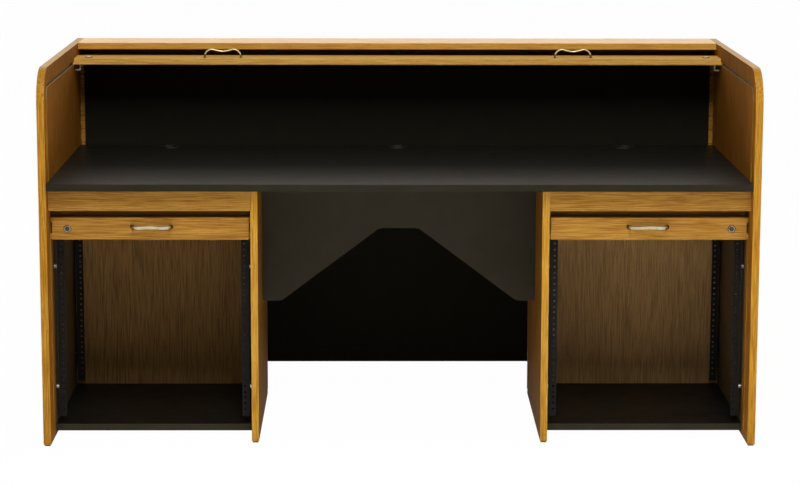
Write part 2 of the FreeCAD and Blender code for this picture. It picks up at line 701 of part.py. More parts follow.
row = [place(one, 0, *shutter_slat_pose(i)) for i in range(SHUT_SLATS)]
pair("shutter_slats", Part.makeCompound(row))
pair("shutter_canvas", shutter_canvas(shut_x0 + SHUT_CANVAS_MARGIN, shut_x1 - SHUT_CANVAS_MARGIN))
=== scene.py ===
"""Dress the tambour desk: oak boards, slatted curtains with canvas, handles, stage and camera."""
import logging
import math
from collections.abc import Callable
from dataclasses import dataclass, field
from enum import Enum
from functools import partial
from typing import Any

import bmesh
import bpy
import numpy as np
from mathutils import Matrix


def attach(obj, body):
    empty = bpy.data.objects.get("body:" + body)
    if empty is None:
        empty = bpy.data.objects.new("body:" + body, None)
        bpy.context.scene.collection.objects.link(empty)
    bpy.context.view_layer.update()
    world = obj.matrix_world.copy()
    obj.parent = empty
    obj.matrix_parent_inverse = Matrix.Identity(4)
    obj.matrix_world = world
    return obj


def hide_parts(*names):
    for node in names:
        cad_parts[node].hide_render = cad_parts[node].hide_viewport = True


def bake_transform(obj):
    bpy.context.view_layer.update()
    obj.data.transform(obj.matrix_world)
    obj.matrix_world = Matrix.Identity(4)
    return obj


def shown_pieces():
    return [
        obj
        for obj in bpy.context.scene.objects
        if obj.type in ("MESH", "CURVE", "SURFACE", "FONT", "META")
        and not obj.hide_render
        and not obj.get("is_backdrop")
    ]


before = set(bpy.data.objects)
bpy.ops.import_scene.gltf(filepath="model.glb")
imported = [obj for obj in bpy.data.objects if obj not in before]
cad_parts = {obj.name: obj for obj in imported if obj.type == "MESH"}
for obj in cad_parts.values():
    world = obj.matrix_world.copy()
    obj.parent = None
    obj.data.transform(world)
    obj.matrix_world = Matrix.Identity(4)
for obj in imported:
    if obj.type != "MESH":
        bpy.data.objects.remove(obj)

LOG = logging.getLogger("tambour_desk")
MM = 0.001
SIDES = (("left", -1.0), ("right", 1.0))
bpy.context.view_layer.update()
WHITE = (1.0, 1.0, 1.0, 1.0)
QUARTER = math.pi / 2
# Most values of a noise lie in this range.
MOST_NOISE = {"From Min": 0.3, "From Max": 0.7}
# Cosine above which a face counts as one that looks along an axis.
LOOKS_ALONG = 0.7
# Angles in degrees below which an edge is shaded smooth.
SMOOTH_SLAT, SMOOTH_CLOTH, SMOOTH_BOW = 35.0, 40.0, 50.0

Adder = Callable[..., bpy.types.NodeOutputs]
Socket = bpy.types.NodeSocket
Piece = bpy.types.Object
Points = np.ndarray
Faces = list[list[int]]
Inputs = dict[str | int, Any]
Pair = tuple[float, float]
Triple = tuple[float, float, float]


def linear(code: str) -> tuple[float, float, float, float]:
    """Turn an sRGB hex colour into linear light.

    Args:
        code: colour as "#RRGGBB".

    Returns:
        Linear red, green, blue and an alpha of one.
    """
    raw = np.array([int(code[i:i + 2], 16) for i in (1, 3, 5)]) / 255.0
    lit = np.where(raw <= 0.04045, raw / 12.92, ((raw + 0.055) / 1.055) ** 2.4)
    return (*lit.tolist(), 1.0)


def add_node(tree: bpy.types.NodeTree, kind: str, inputs: Inputs | None = None,
             **settings: Any) -> bpy.types.NodeOutputs:
    """Add one node with its settings and links.

    Args:
        tree: node tree that takes the node.
        kind: Blender's name for the node type, without its "ShaderNode".
        inputs: socket name or index to a value, or to an output socket to link.
        settings: node settings; ramp holds (place, colour) stops.

    Returns:
        The new node's outputs.
    """
    node = tree.nodes.new("ShaderNode" + kind)
    for key, value in settings.items():
        if key == "ramp":
            stops = node.color_ramp.elements
            while len(stops) < len(value):
                stops.new(1.0)
            for stop, (place, colour) in zip(stops, value):
                stop.position, stop.color = place, colour
        else:
            setattr(node, key, value)
    for key, value in (inputs or {}).items():
        if isinstance(value, Socket):
            tree.links.new(value, node.inputs[key])
        else:
            node.inputs[key].default_value = value
    return node.outputs


def adder(owner: bpy.types.ID) -> Adder:
    """Clear the nodes of a material or world, and return add_node for them.

    Args:
        owner: the material or world.

    Returns:
        The function, which takes kind, inputs and settings.
    """
    owner.use_nodes = True
    owner.node_tree.nodes.clear()
    return partial(add_node, owner.node_tree)


class Grain(Enum):
    """Direction of the wood grain, as the turn that lays it along X."""

    ALONG_X = (0.0, 0.0, 0.0)
    ALONG_Y = (0.0, 0.0, -QUARTER)
    ALONG_Z = (0.0, QUARTER, 0.0)


class Finish:
    """A finish that makes its material once and gives it to pieces."""

    name: str

    def surface(self, add: Adder) -> Inputs:
        """Add the finish's nodes and return the Principled shader's inputs; each writes its own."""
        raise NotImplementedError

    def material(self) -> bpy.types.Material:
        """Make the finish's material on first use.

        Returns:
            The material.
        """
        made = bpy.data.materials.get(self.name)
        if not made:
            made = bpy.data.materials.new(self.name)
            add = adder(made)
            shader = add("BsdfPrincipled", self.surface(add))
            add("OutputMaterial", {"Surface": shader["BSDF"]})
        return made

    def dress(self, piece: Piece) -> None:
        """Give the finish to a piece as its only material."""
        piece.data.materials.clear()
        piece.data.materials.append(self.material())

    def dress_some(self, piece: Piece, chosen: np.ndarray) -> None:
        """Give the finish to the chosen faces, true or false each, of a piece that has another."""
        piece.data.materials.append(self.material())
        piece.data.polygons.foreach_set("material_index", chosen.astype(np.int32))


@dataclass(frozen=True)
class OakVeneer(Finish):
    """Sliced oak under satin lacquer: golden ground, brown growth streaks and short dark pores.

    Faces along one axis can be tinted: a side panel's veneer is redder and duller than its lipping,
    and on the inner panels and the lead rail's top the tint is painted shade.
    The walls inside the bays, behind the front rack rails, can have grey-brown painted shade.
    """

    name: str
    grain: Grain
    ground: str = "#BA8429"
    light: str = "#C89337"
    late: str = "#9B691B"
    pore: str = "#6E4712"
    rough: float = 0.6
    gloss: float = 0.06
    face_tint: str | None = None
    face_rough: float = 0.0
    face_axis: str = "X"
    # Grey-brown painted shade on the bay walls: its colour, lower bounds (|x|, y), upper bounds
    # (|x|, z) and share.
    painted_shade: str | None = None
    painted_shade_from: Pair = (0.37, -0.345)
    painted_shade_to: Pair = (0.8815, 0.6)
    painted_shade_share: float = 0.9
    streak_share: float = 0.84
    pore_share: float = 0.45

    # Sizes in metres along and across the grain, and noise detail. Real pores are 0.3 mm wide;
    # they are drawn 1.3 mm wide so that they show.
    SIZES = {"tone": (0.9, 0.16, 1.0), "growth": (0.4, 0.006, 3.0),
             "streak": (0.08, 0.0021, 1.0), "pore": (0.018, 0.0013, 1.0)}

    def surface(self, add: Adder) -> Inputs:
        """Stretch noise along the grain at several widths and colour the ground by it.

        Args:
            add: adds a node to the material.

        Returns:
            The shader's inputs.
        """
        lie = add("TexCoord")
        along = add("Mapping", {"Vector": lie["Object"], "Rotation": self.grain.value})[0]
        # A slow drift of about 10 mm keeps the streaks from running dead straight.
        slow = add("Mapping", {"Vector": along, "Scale": (1.3, 7.0, 7.0)})
        drift = add("TexNoise", {"Vector": slow[0], "Scale": 1.0, "Detail": 2.0})
        bent = add("VectorMath", {
            0: drift["Color"], 1: (0.0, 0.022, 0.022), 2: along}, operation="MULTIPLY_ADD")[0]
        noise = {}
        for label, (long, wide, detail) in self.SIZES.items():
            scaled = add("Mapping", {"Vector": bent, "Scale": (1 / long, 1 / wide, 1 / wide)})
            noise[label] = add("TexNoise", {
                "Vector": scaled[0], "Scale": 1.0, "Detail": detail, "Roughness": 0.55})[0]
        bands = add("Math", {0: noise["growth"], 1: 1 - self.streak_share}, operation="MULTIPLY")
        figure = add("Math", {0: noise["streak"], 1: self.streak_share, 2: bands[0]},
                     operation="MULTIPLY_ADD")[0]
        ground = add("ValToRGB", {"Fac": figure}, ramp=(
            (0.37, linear(self.late)), (0.50, linear(self.ground)), (0.63, linear(self.light))))
        open_pore = add("MapRange", {"Value": noise["pore"], "From Min": 0.60, "From Max": 0.74})[0]
        dark = add("Math", {0: open_pore, 1: self.pore_share}, operation="MULTIPLY")
        pored = add("Mix", {0: dark[0], 6: ground["Color"], 7: linear(self.pore)}, data_type="RGBA")
        shade = add("MapRange", {
            "Value": noise["tone"], **MOST_NOISE, "To Min": 0.95, "To Max": 1.05})
        colour = add("VectorMath", {0: pored[2], "Scale": shade[0]}, operation="SCALE")[0]
        rough = add("MapRange", {
            "Value": figure, **MOST_NOISE, "To Min": self.rough + 0.06,
            "To Max": self.rough - 0.04})[0]
        dent = add("Math", {0: figure, 1: open_pore}, operation="SUBTRACT")
        bump = add("Bump", {"Height": dent[0], "Strength": 0.25, "Distance": 0.4 * MM})
        if self.face_tint:
            colour, rough = self.tinted(add, lie["Normal"], colour, rough)
        # Painted shade on the bay walls behind the front rack rails.
        if self.painted_shade:
            colour = self.paint_shade_zone(add, lie["Object"], colour)
        return {"Base Color": colour, "Roughness": rough, "Normal": bump["Normal"],
                "Specular IOR Level": self.gloss}

    def tinted(self, add: Adder, normal: Socket, colour: Socket,
               rough: Socket) -> tuple[Socket, Socket]:
        """Tint and dull the faces that look along the face axis; on some finishes the tint is
        painted shade.

        Args:
            add: adds a node to the material.
            normal: normal in Object coordinates.
            colour: colour of the lipping.
            rough: roughness of the lipping.

        Returns:
            Colour and roughness with both kinds of faces.
        """
        facing = add("SeparateXYZ", {"Vector": normal})
        sideways = add("Math", {0: facing[self.face_axis]}, operation="ABSOLUTE")
        broad = add("Math", {0: sideways[0], 1: LOOKS_ALONG}, operation="GREATER_THAN")[0]
        tint = add("Mix", {0: broad, 6: WHITE, 7: linear(self.face_tint)}, data_type="RGBA")
        toned = add("VectorMath", {0: colour, 1: tint[2]}, operation="MULTIPLY")
        dulled = add("Math", {0: broad, 1: self.face_rough, 2: rough}, operation="MULTIPLY_ADD")
        return toned[0], dulled[0]

    def paint_shade_zone(self, add: Adder, place: Socket, bare: Socket) -> Socket:
        """Cover the bare colour with grey-brown painted shade inside the bays, where all four
        bounds hold.

        Args:
            add: adds a node to the material.
            place: Object coordinates.
            bare: colour of the bare veneer.

        Returns:
            The colour with its zone of painted shade.
        """
        axis = add("SeparateXYZ", {"Vector": place})
        out = add("Math", {0: axis["X"]}, operation="ABSOLUTE")[0]
        (near, front), (far, top) = self.painted_shade_from, self.painted_shade_to
        zone = self.painted_shade_share
        for source, test, bound in ((out, "GREATER_THAN", near), (out, "LESS_THAN", far),
                                    (axis["Y"], "GREATER_THAN", front),
                                    (axis["Z"], "LESS_THAN", top)):
            inside = add("Math", {0: source, 1: bound}, operation=test)
            zone = add("Math", {0: inside[0], 1: zone}, operation="MULTIPLY")[0]
        return add("Mix", {0: zone, 6: bare, 7: linear(self.painted_shade)}, data_type="RGBA")[2]


@dataclass(frozen=True)
class CharcoalLaminate(Finish):
    """Pressed melamine laminate in warm charcoal, darker on upper faces than on the others.

    It is even and faintly mottled, with a fine pebble that dulls the gloss.
    """

    name: str = "charcoal_melamine_laminate"
    ground: str = "#39362D"
    cloud: str = "#332F26"
    top: str = "#161511"
    # Painted reflection: a warm tint of the gloss stands in for the oak reflected in it.
    shine: str = "#FFDFB8"
    rough: float = 0.42
    gloss: float = 0.12
    cloud_wide: float = 60.0 * MM
    fleck_wide: float = 3.0 * MM
    pebble_wide: float = 2.0 * MM

    def surface(self, add: Adder) -> Inputs:
        """Mix two greys by a cloud and a fleck, and pebble the surface.

        Real flecks and pebbles are under 1 mm wide; they are drawn coarser so that they show.

        Args:
            add: adds a node to the material.

        Returns:
            The shader's inputs.
        """
        lie = add("TexCoord")
        place = lie["Object"]
        cloud = add("TexNoise", {"Vector": place, "Scale": 1 / self.cloud_wide, "Detail": 3.0})[0]
        fleck = add("TexNoise", {"Vector": place, "Scale": 1 / self.fleck_wide, "Detail": 2.0})
        both = add("Math", {0: fleck[0], 1: 0.6, 2: cloud}, operation="MULTIPLY_ADD")
        spread = add("MapRange", {"Value": both[0], "From Min": 0.55, "From Max": 1.05})
        colour = add("Mix", {
            0: spread[0], 6: linear(self.cloud), 7: linear(self.ground)}, data_type="RGBA")
        facing = add("SeparateXYZ", {"Vector": lie["Normal"]})
        above = add("Math", {0: facing["Z"], 1: LOOKS_ALONG}, operation="GREATER_THAN")
        board = add("Mix", {0: above[0], 6: colour[2], 7: linear(self.top)}, data_type="RGBA")
        rough = add("MapRange", {
            "Value": cloud, **MOST_NOISE, "To Min": self.rough - 0.04,
            "To Max": self.rough + 0.05})
        pebble = add("TexVoronoi", {"Vector": place, "Scale": 1 / self.pebble_wide})
        bump = add("Bump", {"Height": pebble["Distance"], "Strength": 0.12, "Distance": 0.2 * MM})
        return {"Base Color": board[2], "Roughness": rough[0], "Normal": bump["Normal"],
                "Specular IOR Level": self.gloss, "Specular Tint": linear(self.shine)}


@dataclass(frozen=True)
class Canvas(Finish):
    """Plain woven cotton duck, dyed black, or brown as painted shade: matt, with threads over and
    under and a little lint.
    """

    name: str
    warp: str
    weft: str
    thread: float = 2.0 * MM
    lint_wide: float = 50.0 * MM
    rough: float = 0.92
    gloss: float = 0.06

    def surface(self, add: Adder) -> Inputs:
        """Cross two waves along the cloth's own UV, one per thread direction.

        The real thread is 0.8 mm; it is drawn 2 mm wide so that the weave shows.

        Args:
            add: adds a node to the material.

        Returns:
            The shader's inputs.
        """
        place = add("UVMap", uv_map="cloth")["UV"]
        waves = [add("TexWave", {
            "Vector": place, "Scale": math.pi / (10.0 * self.thread), "Distortion": 0.4,
            "Detail": 1.0}, bands_direction=axis)["Fac"] for axis in ("X", "Y")]
        weave = add("Math", {0: waves[0], 1: waves[1]}, operation="MULTIPLY")[0]
        lint = add("TexNoise", {"Vector": place, "Scale": 1 / self.lint_wide, "Detail": 4.0})
        share = add("Math", {0: lint[0], 1: 0.6, 2: weave}, operation="MULTIPLY_ADD")
        colour = add("Mix", {0: share[0], 6: linear(self.weft), 7: linear(self.warp)},
                     data_type="RGBA")
        bump = add("Bump", {"Height": weave, "Strength": 0.3, "Distance": 0.4 * MM})
        return {"Base Color": colour[2], "Normal": bump["Normal"], "Roughness": self.rough,
                "Specular IOR Level": self.gloss}


@dataclass(frozen=True)
class Coat(Finish):
    """Plated metal, powder coat, plastic or rubber: fine grit, and faint smears in its gloss.

    The grit, in grains per metre, is drawn 1.4 to 3.3 mm wide, coarser than real, so that it shows.
    """

    name: str
    colour: str
    worn: str
    rough: float
    metallic: float = 1.0
    grit: float = 500.0
    depth: float = 0.12
    gloss: float = 0.5
    # Tint of the gloss at grazing angles; a dark one paints dark reflections there.
    rim: str = "#FFFFFF"
    smear_wide: float = 15.0 * MM

    def surface(self, add: Adder) -> Inputs:
        """Raise the grit by noise, and let a cloud of smears vary colour and roughness.

        Args:
            add: adds a node to the material.

        Returns:
            The shader's inputs.
        """
        place = add("TexCoord")["Object"]
        grit = add("TexNoise", {"Vector": place, "Scale": self.grit, "Detail": 2.0})
        smear = add("TexNoise", {"Vector": place, "Scale": 1 / self.smear_wide, "Detail": 3.0})[0]
        spread = add("MapRange", {"Value": smear, "From Min": 0.35, "From Max": 0.65})
        colour = add("Mix", {
            0: spread[0], 6: linear(self.worn), 7: linear(self.colour)}, data_type="RGBA")
        rough = add("MapRange", {
            "Value": smear, **MOST_NOISE, "To Min": self.rough + 0.07,
            "To Max": self.rough - 0.04})
        bump = add("Bump", {"Height": grit[0], "Strength": self.depth, "Distance": 0.2 * MM})
        return {"Base Color": colour[2], "Roughness": rough[0], "Normal": bump["Normal"],
                "Metallic": self.metallic, "Specular IOR Level": self.gloss,
                "Specular Tint": linear(self.rim)}


# Fascias, shutter rails and slats: fine level streaks, nearly matt.
OAK_X = OakVeneer("oak_veneer_grain_across", Grain.ALONG_X, "#AE7E33", "#BC8C41", "#946326")
# Side and inner panels: upright streaks, golden on the lipped edges and redder on the faces; the
# inner panels' faces are darker still, as painted shade, and both paint grey-brown shade on the bay
# walls behind the front rack rails.
OAK_Z = OakVeneer("oak_veneer_grain_upright", Grain.ALONG_Z, rough=0.42, gloss=0.05,
                  face_tint="#E6D1D7", face_rough=0.3, painted_shade="#64573F")
OAK_INNER = OakVeneer("oak_veneer_inner_panel", Grain.ALONG_Z, "#C28F33", "#CF9D40", "#A37324",
                      rough=0.42, gloss=0.05, face_tint="#B4A4A6", face_rough=0.3, painted_shade="#64573F")
# Top board and roll top rail: lighter oak as painted light, the board with a satin shine, and the
# rail's top faces tinted a little darker as painted shade.
OAK_TOP = OakVeneer("oak_lipping_painted_light", Grain.ALONG_X, "#E0A746", "#E8B353", "#CC953B", "#8C5E2C",
                    0.4, 0.24)
OAK_LEAD = OakVeneer("solid_oak_painted_light", Grain.ALONG_X, "#EBB45A", "#F1BE66", "#DAA147", "#966932",
                     0.5, 0.05, face_axis="Z", face_tint="#EAE8E6")
# The roll top's grooves: pale and even, a painted highlight on the shaded groove.
TRACK = OakVeneer("pale_track_painted_highlight", Grain.ALONG_Y, "#B0946A", "#BAA077", "#9F8358", "#846A43",
                  0.5, 0.1)
# Bay backs: brown and matt; the right one painted paler and the left darker, as painted light and
# shade.
OAK_BACK = {
    "left": OakVeneer("brown_oak_veneer_left_painted_shade", Grain.ALONG_Z, "#A07A46", "#AD8650", "#856238",
                      "#5E4324"),
    "right": OakVeneer("brown_oak_veneer_right_painted_light", Grain.ALONG_Z, "#BE9560", "#C9A16B", "#A17E4D",
                       "#705332")}
# Charcoal boards: even and dull; the desktop is a darker copy, painted shade on its lit edges.
CHARCOAL = CharcoalLaminate()
CHARCOAL_DESK = CharcoalLaminate("charcoal_melamine_desktop_painted_shade", "#2C2A22", "#26241C", gloss=0.08)
# The curtains' cloth: no shine, and a weave that shows close up.
CANVAS = Canvas("black_cotton_canvas", "#25231A", "#191711")
# The shutters' cloth is brown as painted shade: where it shows over the rails it stands in for
# shaded oak.
BROWN_CANVAS = Canvas("brown_cotton_canvas_painted_shade", "#6E5230", "#573F22")
# Handles: a warm soft highlight along the strap; painted shade and reflection in dark brown at the
# feet and edges, and a dark rim tint that paints dark reflections at grazing angles.
NICKEL = Coat("satin_nickel_plate", "#D3C39C", "#C2B087", 0.36, depth=0.0, rim="#3A2E1C")
NICKEL_PAINTED_SHADE = Coat("nickel_plate_painted_shade", "#6B5E48", "#4E4332", 0.4, grit=300.0)
# Locks and screws: small bright spots and dark cores; the lock cases' dark rims are painted shade.
LOCK_NICKEL = Coat("worn_nickel_plate", "#BFB49D", "#978B74", 0.3)
LOCK_FACE = Coat("satin_zinc_plate", "#DCD6C6", "#C4BCA8", 0.62)
LOCK_CORE = Coat("dark_lock_core_and_painted_rim_shade", "#5B5140", "#453C2E", 0.42)
ZINC = Coat("bright_zinc_plate", "#C9C7C0", "#A9A69C", 0.32)
# Rack rails, outlets and pads: black, from a faint orange peel to dead matt.
BLACK_STEEL = Coat("black_powder_coat", "#151412", "#0F0E0C", 0.46, 0.0, 700.0, 0.3, 0.15)
BLACK_PLASTIC = Coat("moulded_black_plastic", "#1C1B19", "#151412", 0.42, 0.0, 600.0, 0.15)
RUBBER = Coat("black_rubber", "#121110", "#0C0B0A", 0.75, 0.0, 400.0, 0.3, 0.15)


def make_piece(name: str, points: Points, faces: Faces, smooth: float | None = None) -> Piece:
    """Make a mesh object at the origin with its faces turned outwards.

    Args:
        name: the piece's name.
        points: vertices in metres, one row each.
        faces: vertex numbers of each face.
        smooth: edges flatter than this angle in degrees are shaded smooth; None leaves all flat.

    Returns:
        The linked object.
    """
    mesh = bpy.data.meshes.new(name)
    mesh.from_pydata(points.reshape(-1, 3).tolist(), [], faces)
    solid = bmesh.new()
    solid.from_mesh(mesh)
    bmesh.ops.recalc_face_normals(solid, faces=solid.faces)
    solid.to_mesh(mesh)
    solid.free()
    if smooth is not None:
        mesh.polygons.foreach_set("use_smooth", np.ones(len(mesh.polygons), bool))
        mesh.set_sharp_from_angle(angle=math.radians(smooth))
    mesh.update()
    piece = bpy.data.objects.new(name, mesh)
    bpy.context.scene.collection.objects.link(piece)
    return piece


def put(piece: Piece, finish: Finish, node: str) -> None:
    """Dress a piece, and hide the CAD node that it stands for.

    Args:
        piece: object to dress.
        finish: its finish.
        node: CAD node that it replaces.
    """
    finish.dress(piece)
    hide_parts(node)


def in_frame(piece: Piece, flat: np.ndarray) -> Points:
    """Turn a piece's own coordinates, x, y and z in turn, into rows in the shared frame."""
    place = np.array(piece.matrix_world)
    return flat.reshape(-1, 3) @ place[:3, :3].T + place[:3, 3]


def face_middles(piece: Piece) -> Points:
    """Find the middle of each face in the shared frame.

    Args:
        piece: object to read.

    Returns:
        One row for each face.
    """
    middle = np.zeros(3 * len(piece.data.polygons))
    piece.data.polygons.foreach_get("center", middle)
    return in_frame(piece, middle)


def corner_numbers(piece: Piece) -> np.ndarray:
    """List the vertex of each face corner in turn.

    Args:
        piece: object to read.

    Returns:
        Vertex numbers.
    """
    corner = np.zeros(len(piece.data.loops), np.int64)
    piece.data.loops.foreach_get("vertex_index", corner)
    return corner


def face_corners(piece: Piece) -> Points:
    """Find the corners of a triangle mesh in the shared frame.

    Args:
        piece: object to read.

    Returns:
        Array (faces, 3, 3).
    """
    flat = np.zeros(3 * len(piece.data.vertices))
    piece.data.vertices.foreach_get("co", flat)
    return in_frame(piece, flat)[corner_numbers(piece)].reshape(-1, 3, 3)


def prisms(sections: Points, x0: float, x1: float, first: int) -> tuple[Points, Faces]:
    """Carry closed (y, z) sections along X, one bar for each section.

    Each bar is its section at x0 and again at x1, a quad for each section edge, and two end caps.

    Args:
        sections: array (bars, corners, 2) in metres.
        x0: start along X.
        x1: end along X.
        first: number of the first point.

    Returns:
        Points and faces of all bars.
    """
    bars, corners, _ = sections.shape
    points = np.zeros((bars, 2, corners, 3))
    points[:, 0, :, 0], points[:, 1, :, 0] = x0, x1
    points[..., 1:] = sections[:, None]
    number = first + np.arange(bars * 2 * corners).reshape(bars, 2, corners)
    nxt = np.roll(number, -1, axis=2)
    sides = np.stack([number[:, 0], nxt[:, 0], nxt[:, 1], number[:, 1]], -1).reshape(-1, 4)
    caps = number.reshape(-1, corners)
    return points.reshape(-1, 3), sides.tolist() + caps.tolist()


def pose_sections(section: Points, poses: np.ndarray) -> Points:
    """Turn and move one (along, out) section to each pose.

    A point (a, b) goes to y + a cos t - b sin t and z + a sin t + b cos t.

    Args:
        section: array (corners, 2).
        poses: array (bars, 3) of y, z and turn t in radians.

    Returns:
        Array (bars, corners, 2) of y and z.
    """
    a, b = section[None, :, 0], section[None, :, 1]
    y, z, t = (poses[:, i, None] for i in range(3))
    return np.stack([y + a * np.cos(t) - b * np.sin(t), z + a * np.sin(t) + b * np.cos(t)], -1)


@dataclass
class Slat:
    """One oak slat: flat inside, rounded outer edges and a tongue at each end."""

    pitch: float = 38.4 * MM
    gap: float = 0.6 * MM
    thick: float = 10.0 * MM
    edge: float = 3.2 * MM
    ease: float = 1.6 * MM
    tongue: float = 8.0 * MM
    tongue_long: float = 14.0 * MM

    def half(self) -> float:
        """Return half the slat's own width."""
        return (self.pitch - self.gap) / 2

    def section(self) -> Points:
        """Draw the outline.

        Each outer edge is a quarter circle of radius edge, each inner edge a flat of width ease.

        Returns:
            Array (corners, 2) of along and out.
        """
        half, turn = self.half(), np.linspace(0, QUARTER, 5)
        right = np.stack([half - self.edge + self.edge * np.cos(turn),
                          self.thick - self.edge + self.edge * np.sin(turn)], -1)
        right = np.concatenate([[[half - self.ease, 0.0], [half, self.ease]], right])
        return np.concatenate([right, right[::-1] * [-1, 1]])

    def tongue_section(self) -> Points:
        """Return the (along, out) outline of the tongue, a plain rectangle."""
        half = self.tongue_long / 2
        return np.array([[-half, 0.0], [half, 0.0], [half, self.tongue], [-half, self.tongue]])


@dataclass(kw_only=True)
class Curtain:
    """What the roll top and the shutters share: slats on a canvas, a bend, and a run that gathers.

    The run spreads from hidden_end, which stays, to gather, from which it moves with the lead rail.
    """

    slat: Slat = field(default_factory=Slat)
    cloth_finish: Canvas
    cloth_slot: str
    ends: Pair
    tips: Pair
    canvas_margin: float
    columns: int
    travel: float
    hidden_end: float
    gather: float
    bend_r: float = 36.0 * MM
    bend_rows: int = 13
    run_rows: int = 60
    canvas_t: float = 0.8 * MM
    canvas_gap: float = 0.2 * MM

    # Metres below and above the run that rest's table reaches, and its points.
    TABLE = (2.0, 0.5, 60001)

    def off(self) -> float:
        """Return the distance from the track's line to the middle of the canvas."""
        return self.canvas_gap + self.canvas_t / 2

    def rest(self, spread: np.ndarray) -> np.ndarray:
        """Find where points rest that have to lie at given places when the curtain is drawn out.

        A point at r moves by travel times w, the smooth step from 0 at hidden_end to 1 at gather.
        The drawn-out place r - travel w rises with r, so it is read backwards from a table.

        Args:
            spread: places along the track when drawn out.

        Returns:
            Places along the track at rest.
        """
        below, above, points = self.TABLE
        table = np.linspace(self.gather - below, self.hidden_end + above, points)
        t = np.clip((self.hidden_end - table) / (self.hidden_end - self.gather), 0.0, 1.0)
        return np.interp(spread, table - self.travel * t * t * (3 - 2 * t), table)

    def centres(self, start: float) -> np.ndarray:
        """Return the middles of the drawn-out run's slats as a column, the first from start."""
        count = int((self.hidden_end - start) / self.slat.pitch)
        return (start + (np.arange(count) + 0.5) * self.slat.pitch)[:, None]

    def slats_piece(self, name: str, node: str, shape: Callable[[Points], Points]) -> Piece:
        """Make and dress one set of slats, each with a tongue at both ends.

        Args:
            name: the piece's name.
            node: CAD node that it replaces.
            shape: turns an (along, out) section into (bars, corners, 2) of y and z.

        Returns:
            The slats.
        """
        body, tongue = shape(self.slat.section()), shape(self.slat.tongue_section())
        points, faces = np.zeros((0, 3)), []
        for bars, x0, x1 in ((body, *self.ends), (tongue, self.tips[0], self.ends[0]),
                             (tongue, self.ends[1], self.tips[1])):
            own, sides = prisms(bars, x0, x1, len(points))
            points, faces = np.concatenate([points, own]), faces + sides
        piece = make_piece(name, points, faces, SMOOTH_SLAT)
        put(piece, OAK_X, node)
        return piece

    def canvas_piece(self, name: str, node: str, line: Points, long: float, holder: str) -> Piece:
        """Make a sheet of canvas by carrying a (y, z) line along X.

        The two faces lie half the thickness to each side of the line, along its normal, with a rim
        all round. U is the place along X and V the length along the line, both in metres.

        Args:
            name: the piece's name.
            node: CAD node that it replaces.
            line: array (stations, 2).
            long: not used.
            holder: not used.

        Returns:
            The sheet.
        """
        x0, x1 = self.ends[0] + self.canvas_margin, self.ends[1] - self.canvas_margin
        run = np.gradient(line, axis=0)
        run /= np.linalg.norm(run, axis=1)[:, None]
        normal = np.stack([-run[:, 1], run[:, 0]], -1) * self.canvas_t / 2
        steps = np.linalg.norm(np.diff(line, axis=0), axis=1)
        down = np.concatenate([[0.0], np.cumsum(steps)])
        shape = (2, len(line), self.columns)
        across = np.linspace(x0, x1, self.columns)
        points = np.zeros((*shape, 3))
        points[..., 0] = across
        points[..., 1:] = np.stack([line + normal, line - normal])[:, :, None]
        number = np.arange(points[..., 0].size).reshape(shape)
        quads = [np.stack([n[:-1, :-1], n[1:, :-1], n[1:, 1:], n[:-1, 1:]], -1).reshape(-1, 4)
                 for n in number]
        edges = (number[:, 0], number[:, -1], number[:, :, 0], number[:, :, -1])
        rims = [np.stack([a[:-1], a[1:], b[1:], b[:-1]], -1) for a, b in edges]
        piece = make_piece(name, points, np.concatenate(quads + rims).tolist(), SMOOTH_CLOTH)
        uv = np.stack([np.broadcast_to(across, shape), np.broadcast_to(down[:, None], shape)], -1)
        layer = piece.data.uv_layers.new(name="cloth")
        layer.data.foreach_set("uv", uv.reshape(-1, 2)[corner_numbers(piece)].ravel())
        put(piece, self.cloth_finish, node)
        return piece


